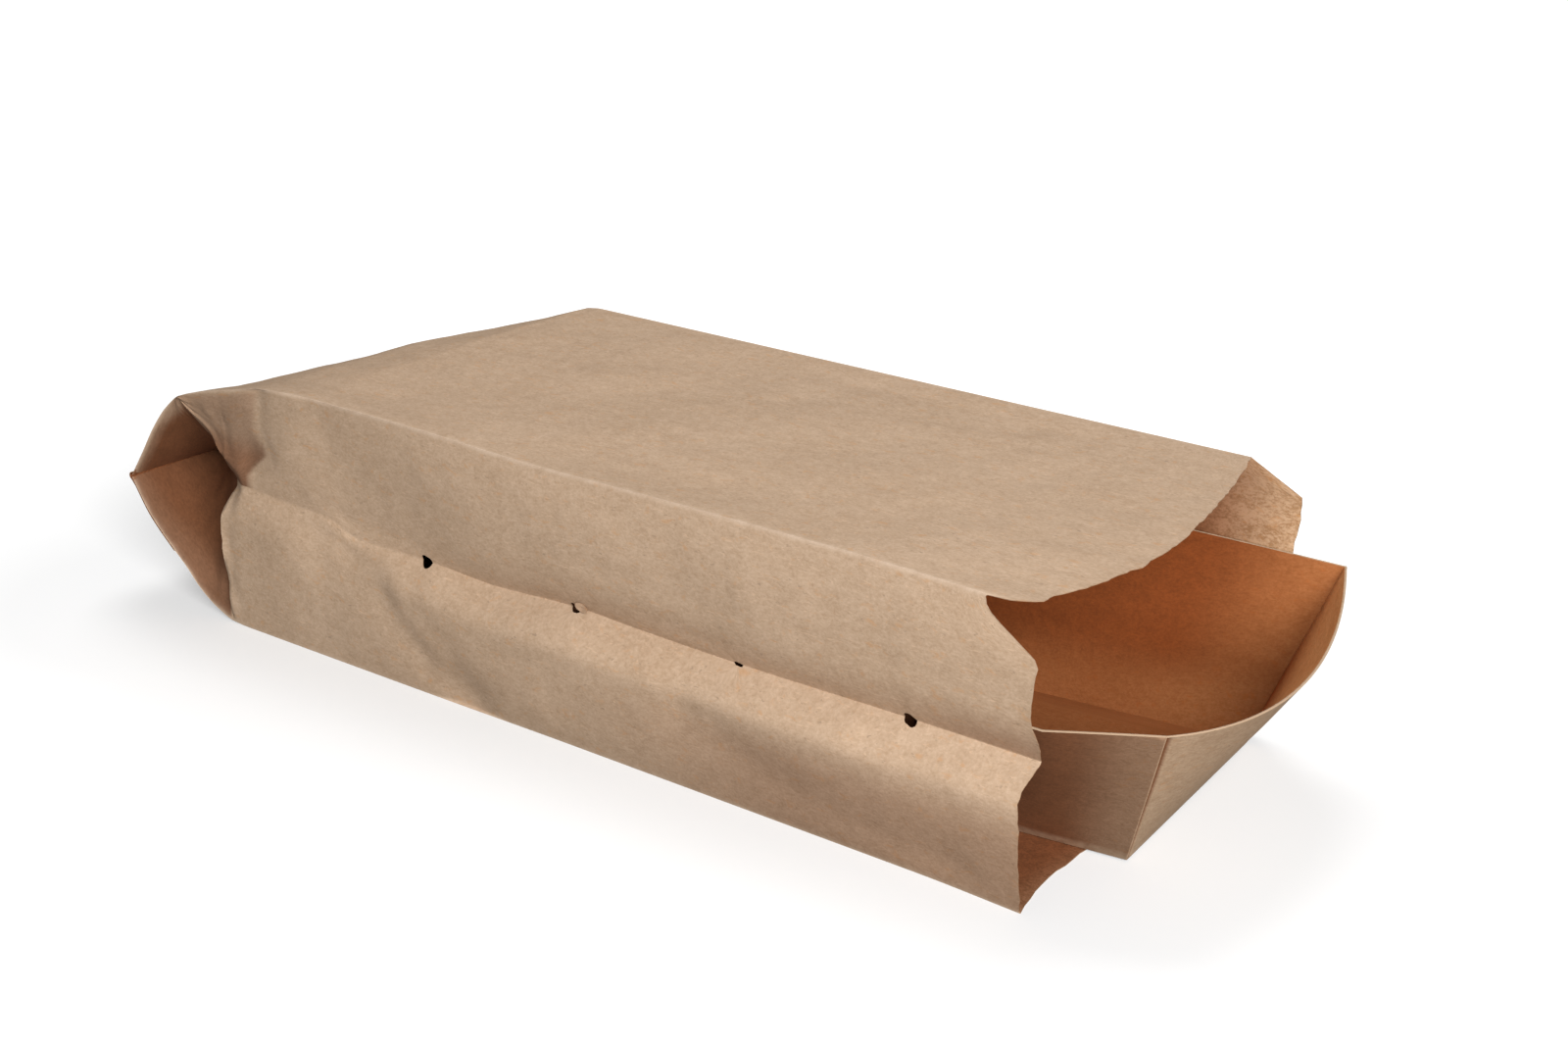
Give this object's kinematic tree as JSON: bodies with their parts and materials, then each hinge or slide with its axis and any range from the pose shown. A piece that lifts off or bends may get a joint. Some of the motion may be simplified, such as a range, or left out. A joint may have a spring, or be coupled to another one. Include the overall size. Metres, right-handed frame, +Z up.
{
  "type": "perforated kraft snack bag with tray",
  "caption": "Side-gusseted brown paper bag with vent holes along both gussets, lying on its back, with a folded board tray sliding out of its open mouth.",
  "frame": {"origin": "middle of the flat back panel that the bag lies on", "axes": "+X out of the open mouth, +Z up, away from the face it lies on"},
  "size_m": [0.3624, 0.1246, 0.0785],
  "materials": {
    "kraft_paper": "uncoated brown kraft paper with fine fibres and soft creases",
    "kraft_board": "uncoated brown kraft board with pale cut edges"
  },
  "bodies": {
    "root": {"bag": "kraft_paper", "tray": "kraft_board"}
  },
  "joints": []
}
